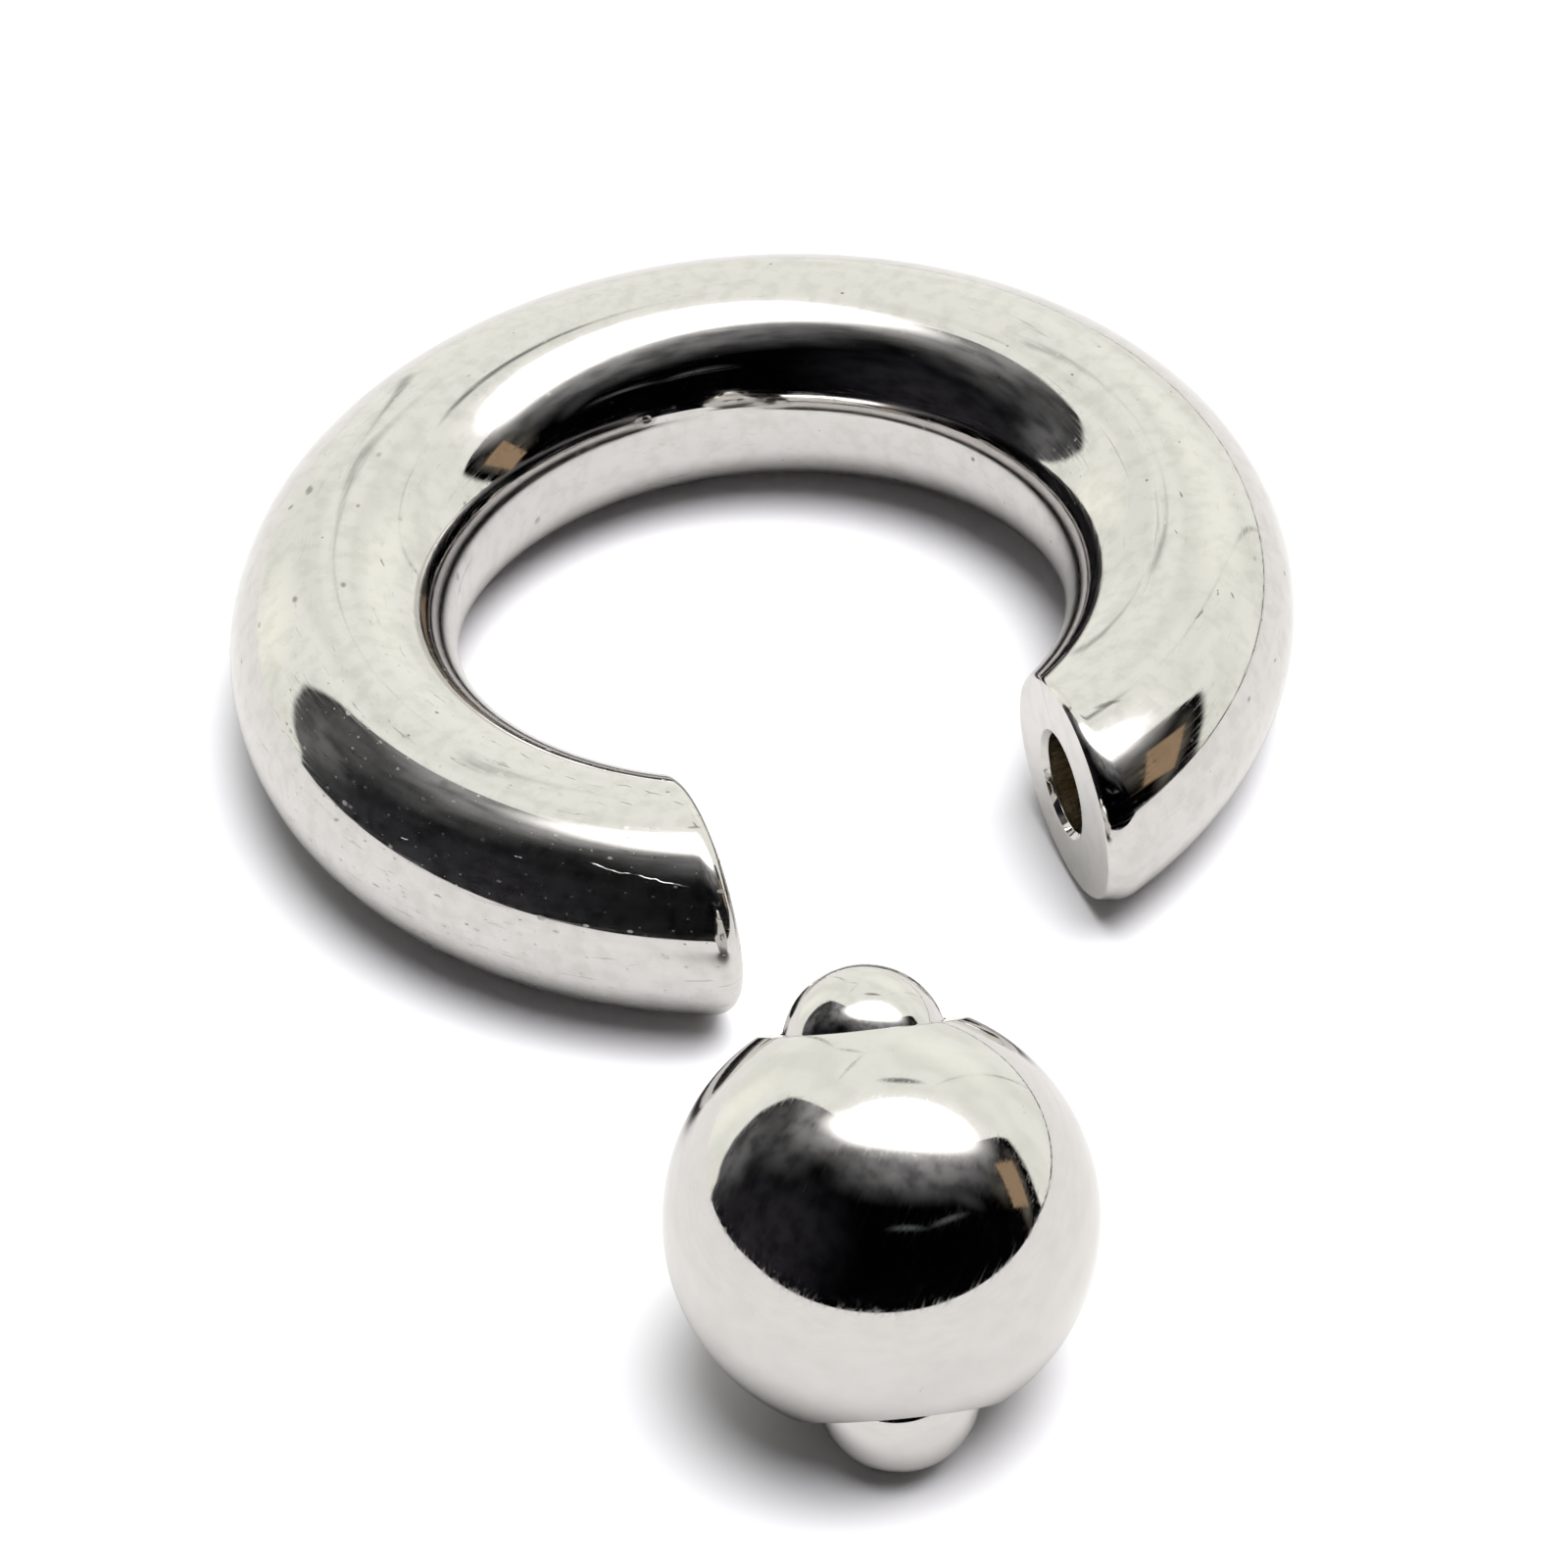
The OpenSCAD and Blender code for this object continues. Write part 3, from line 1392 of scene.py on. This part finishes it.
LAMP = (
    # Its glow on the ceiling, then the lamp itself
    Card((-28, 14), (62, -14), 46, 0.4, (1.42, 1.42, 1.36)),
    Card((-21, 10), (53, -12), 34, 0.5, (4.6, 4.6, 4.5)),
    # Its glare to the left
    Card((-24, 20), (8, -4), 20, 0.0, (3.0, 3.0, 2.9)),
)
CEILING = (
    # The corners and ledges of the pale room
    Card((3, 95), (5, 56), 2.6, 0.2, (0.58, 0.60, 0.55)),
    Card((3.8, 60), (14, 47.5), 2.4, 0.2, (0.66, 0.68, 0.62)),
    Card((15, 50), (-6, 34.5), 2.2, 0.2, (0.72, 0.74, 0.68)),
    Card((90, 56), (30, 18), 2.4, 0.2, (0.58, 0.60, 0.55)),
    Card((-62, 80), (-12, 58), 26, 0.2, (1.26, 1.27, 1.13)),
    Card((18, 70), (72, 18), 34, 0.2, (1.24, 1.26, 1.14)),
)
RAIL = (
    # A rail beyond the lamp
    Card((9, 28.8), (33, 21.8), 5.0, 0.3, (0.30, 0.31, 0.29)),
)
DARK_SIDE = (
    # Its left is charcoal, and to the right a brownish thing hangs
    Card((-122, 70), (-36, -66), 96, 0.2, (0.026, 0.025, 0.029)),
    Card((-88, 48), (-18, 42), 48, 0.1, (0.17, 0.17, 0.17)),
    Card((-44, 46), (-30, -6), 44, 0.0, (0.12, 0.12, 0.12)),
    Card((46, -4), (66, -42), 22, 0.3, (0.09, 0.085, 0.07)),
    Card((62, -4), (84, -46), 14, 0.3, (0.17, 0.16, 0.135)),
    # It greys towards the lamp
    Card((-36, -6), (70, -22), 66, 0.12, (0.42, 0.42, 0.42)),
    Card((-22, 52), (-12, -16), 48, 0.15, (0.42, 0.42, 0.41)),
)
DETAILS = (
    # A fold that catches the light
    Card((-16, -50), (14, -57), 4.5, 0.0, (0.10, 0.11, 0.11)),
    Card((8, -57), (42, -48), 4.5, 0.0, (0.10, 0.105, 0.105)),
    Card((22, -36), (52, -46), 12, 0.0, (0.05, 0.05, 0.05)),
    # A tan card
    Card((62, -15.5), (74.5, -35.5), 13.5, 0.84, (0.40, 0.28, 0.17), corners=True),
)


class Plan(Graph):
    """The world's graph, with a plan of the room in degrees from straight overhead."""

    def __init__(self, tree: bpy.types.NodeTree) -> None:
        """Finds the place on the plan of each direction in the room.

        Args:
            tree: The world's node tree.
        """
        super().__init__(tree)
        x, y, z = self.split(self.add("TexCoord").outputs["Generated"])
        down = self.times(self.math("ARCCOSINE", z), math.degrees(1))
        self.here = self.scaled(self.vector("NORMALIZE", self.join(x, y)), down)

    def mask(self, card: Card) -> Socket:
        """Finds where a card covers the room.

        Args:
            card: The card.

        Returns:
            How much of the card shows there, from 0 to 1.
        """
        start, end = Vector(card.start), Vector(card.end)
        along = end - start
        turn = math.atan2(along.y, along.x)
        on_card = self.on_oval(self.here, (start + end) / 2, (along.length, card.width), turn)
        if card.corners:
            x, y, _ = self.split(self.vector("ABSOLUTE", on_card))
            return self.fade(self.math("MAXIMUM", x, y), card.full, 1.0)
        return self.fade(self.vector("LENGTH", on_card), card.full, 1.0)

    def hang(self, colour: object, cards: Iterable[Card]) -> object:
        """Hangs cards in the room, each over the one before.

        Args:
            colour: The colour behind them.
            cards: The cards.

        Returns:
            The colour with the cards over it.
        """
        for card in cards:
            colour = self.mix(self.mask(card), colour, card.colour)
        return colour


@dataclass
class Room:
    """The plain soft light of a pale room with one dark side, which the steel mirrors."""

    pale: Colour = (1.15, 1.17, 1.07)
    duller: Colour = (1.06, 1.08, 0.98)
    dark: Colour = (0.0006, 0.0006, 0.0009)
    backdrop: Colour = (1.0, 1.0, 1.0)
    cloud_scale: float = 0.045
    cloud_levels: tuple[float, float] = (0.38, 0.62)
    mottle_scale: float = 0.09
    mottle_levels: tuple[float, float] = (0.3, 0.75)
    mottle_share: float = 0.6
    dark_centre: tuple[float, float] = (0.0, -50.0)
    dark_reach: float = 150.0
    # How far the mottle moves the dark side's edge, and the depths between which it darkens
    ragged: float = 2.4
    edge: tuple[float, float] = (-0.6, 2.6)
    # Reach of the dark side from its centre: compass angle from +Y towards +X, and degrees
    dark_outline: tuple[tuple[float, float], ...] = (
        (-180, 140), (-60, 140), (-38, 128), (-35.5, 121), (-31.5, 119.5), (-26.5, 114.5),
        (-20, 106), (-14, 95), (-13, 86), (-12, 75.5), (-11, 66.5), (-10, 57), (-7.1, 48.4),
        (2.7, 43), (14.9, 40.9), (33, 42.2), (48.8, 53.2), (50.5, 62.2), (51.9, 73.7),
        (52.6, 80.6), (59.7, 84.6), (67.5, 87.1), (74.1, 91.5), (82, 120), (180, 140),
    )

    def dark_depth(self, plan: Plan) -> Socket:
        """Finds how far a place is inside the dark side.

        Args:
            plan: The plan of the room.

        Returns:
            The distance inside its outline, in degrees.
        """
        spoke = plan.vector("SUBTRACT", plan.here, (*self.dark_centre, 0.0))
        x, y, _ = plan.split(spoke)
        share = plan.math("MULTIPLY_ADD", plan.math("ARCTAN2", x, y), 0.5 / math.pi, 0.5)
        curve = plan.add("FloatCurve", {"Value": share})
        line = curve.mapping.curves[0]
        dots = [(0.5 + angle / 360, reach / self.dark_reach) for angle, reach in self.dark_outline]
        line.points[0].location, line.points[-1].location = dots[0], dots[-1]
        for dot in dots[1:-1]:
            line.points.new(*dot)
        for point in line.points:
            point.handle_type = "VECTOR"
        curve.mapping.update()
        reach = plan.times(curve.outputs[0], self.dark_reach)
        return plan.math("SUBTRACT", reach, plan.vector("LENGTH", spoke))

    def build(self) -> None:
        """Makes the world's light."""
        world = bpy.data.worlds.new("room")
        bpy.context.scene.world = world
        world.use_nodes = True
        plan = Plan(world.node_tree)
        cloud = plan.ramp(plan.noise(plan.here, self.cloud_scale, 1.0, flat=True), *self.cloud_levels)
        pale = plan.hang(plan.mix(cloud, self.pale, self.duller), CEILING)
        mottle = plan.noise(plan.here, self.mottle_scale, 2.0, flat=True)
        faded = plan.ramp(mottle, *self.mottle_levels, 0.0, self.mottle_share)
        dark = plan.mix(faded, plan.hang(self.dark, DARK_SIDE), self.dark)
        depth = plan.math("MULTIPLY_ADD", mottle, self.ragged, self.dark_depth(plan))
        colour = plan.mix(plan.ramp(depth, *self.edge), pale, plan.hang(dark, DETAILS))
        seen = plan.add("LightPath").outputs["Is Camera Ray"]
        shown = plan.mix(seen, plan.hang(colour, LAMP + RAIL), self.backdrop)
        plan.fill(world.node_tree.nodes["Background"], {"Color": shown})


@dataclass
class SoftLight:
    """A broad lamp that lights the table from the front, and stays out of the mirrors.

    Its spread, its height above the horizon and its compass angle from +Y are in degrees.
    """

    strength: float = 4.6
    spread: float = 44
    height_angle: float = 75
    compass: float = 145

    def build(self) -> None:
        """Makes the lamp."""
        data = bpy.data.lights.new("soft_light", "SUN")
        data.energy = self.strength
        data.angle = math.radians(self.spread)
        lamp = new_object("soft_light", data)
        rise, turn = math.radians(self.height_angle), math.radians(self.compass)
        flat = math.cos(rise)
        towards = Vector((flat * math.sin(turn), flat * math.cos(turn), math.sin(rise)))
        lamp.rotation_euler = towards.to_track_quat("Z", "Y").to_euler()
        lamp.visible_glossy = False


@dataclass
class Table:
    """The pale surface that the ring lies on. lit is how the camera sees it: a brighter copy of its colour than
    the mirrors see, painted light that makes the table look more brightly lit and its shadows narrower.
    """

    height: float
    front: float = -85 * MM
    right: float = 150 * MM
    reach: float = 900 * MM
    trim_height: float = 2.2 * MM
    lit: Colour = (0.68, 0.672, 0.70)
    mirrored: Colour = (0.482, 0.477, 0.472)
    mottled: Colour = (0.462, 0.457, 0.452)
    cloud: float = 0.25
    cloud_levels: tuple[float, float] = (0.35, 0.65)
    rough: float = 0.9
    gloss: float = 0.1
    trim: Colour = (0.10, 0.10, 0.10)
    trim_rough: float = 0.7

    def material(self) -> Material:
        """Makes the table's plain pale finish.

        Returns:
            The material.
        """
        material, graph, shader = new_material("pale_table")
        cloud = graph.ramp(graph.noise(graph.own_place(), self.cloud, 3.0), *self.cloud_levels)
        # Painted light: the camera sees the brighter lit colour, and the mirrors see the darker one.
        seen = graph.add("LightPath").outputs["Is Camera Ray"]
        graph.fill(shader, {
            "Base Color": graph.mix(seen, graph.mix(cloud, self.mirrored, self.mottled), self.lit),
            "Roughness": self.rough,
            "Specular IOR Level": self.gloss,
        })
        return material

    def trim_material(self) -> Material:
        """Makes the finish of the dark trim at the table's edge.

        Returns:
            The material.
        """
        material, graph, shader = new_material("dark_trim")
        graph.fill(shader, {"Base Color": (*self.trim, 1.0), "Roughness": self.trim_rough})
        return material

    @staticmethod
    def sheet(name: str, spans: Iterable[tuple], material: Material) -> bpy.types.Object:
        """Makes a sheet of rectangles.

        Args:
            name: The sheet's name.
            spans: The opposite corners of each rectangle, level or upright along Y.
            material: Its finish.

        Returns:
            The sheet.
        """
        points: list[tuple[float, float, float]] = []
        for (x0, y0, z0), (x1, y1, z1) in spans:
            points += [(x0, y0, z0), (x1, y0, z1), (x1, y1, z1), (x0, y1, z0)]
        mesh = bpy.data.meshes.new(name)
        mesh.from_pydata(points, [], [range(i, i + 4) for i in range(0, len(points), 4)])
        mesh.materials.append(material)
        sheet = new_object(name, mesh)
        return sheet

    def build(self) -> None:
        """Makes the table with its trim, and round it the floor that only the camera sees."""
        material = self.material()
        far, front, right, z = self.reach, self.front, self.right, self.height
        self.sheet("table", [((-far, front, z), (right, far, z))], material)
        floor = self.sheet("floor", [
            ((-far, -far, z), (far, front, z)),
            ((right, front, z), (far, far, z)),
        ], material)
        floor.visible_glossy = False
        upright = [((right, far, z + self.trim_height), (right, front, z))]
        trim = self.sheet("table_trim", upright, self.trim_material())
        trim.visible_camera = False
        trim.visible_diffuse = False
        trim.visible_shadow = False


def main() -> None:
    """Builds the studio and each piece of the object."""
    logging.basicConfig(level=logging.INFO, format="%(name)s: %(message)s")
    effects = Effects()
    ring = Ring.from_frame()
    bore = Bore.from_frame()
    plungers = [Plunger.from_frame(bore, place) for place in Place]
    bead = Bead.from_frame(bore, plungers[0].height)
    spring = Spring.from_frame(bore)
    PhotoCamera(
        place=Vector((-44.575, -152.829, 130.264)) * MM,
        aim=Vector((-1.663, -6.527, 0.0)) * MM,
        roll=4.692,
        focal_pixels=7980.75,
    ).build()
    bpy.context.scene.view_settings.view_transform = "Standard"
    Room().build()
    SoftLight().build()
    Table(height=-ring.wire_r).build()
    ring_steel = RingSteel(ring=ring).material(effects)
    bead_steel = MirrorSteel("bead_steel").material(effects)
    plunger_steel = MirrorSteel("plunger_steel").material(effects)
    spring_steel = SpringSteel().material(effects)
    pieces = [ring.build(ring_steel), bead.build(bead_steel)]
    pieces += [plunger.build(plunger_steel) for plunger in plungers]
    pieces += [spring.build_half(place, spring_steel) for place in Place]


if __name__ == "__main__":
    main()
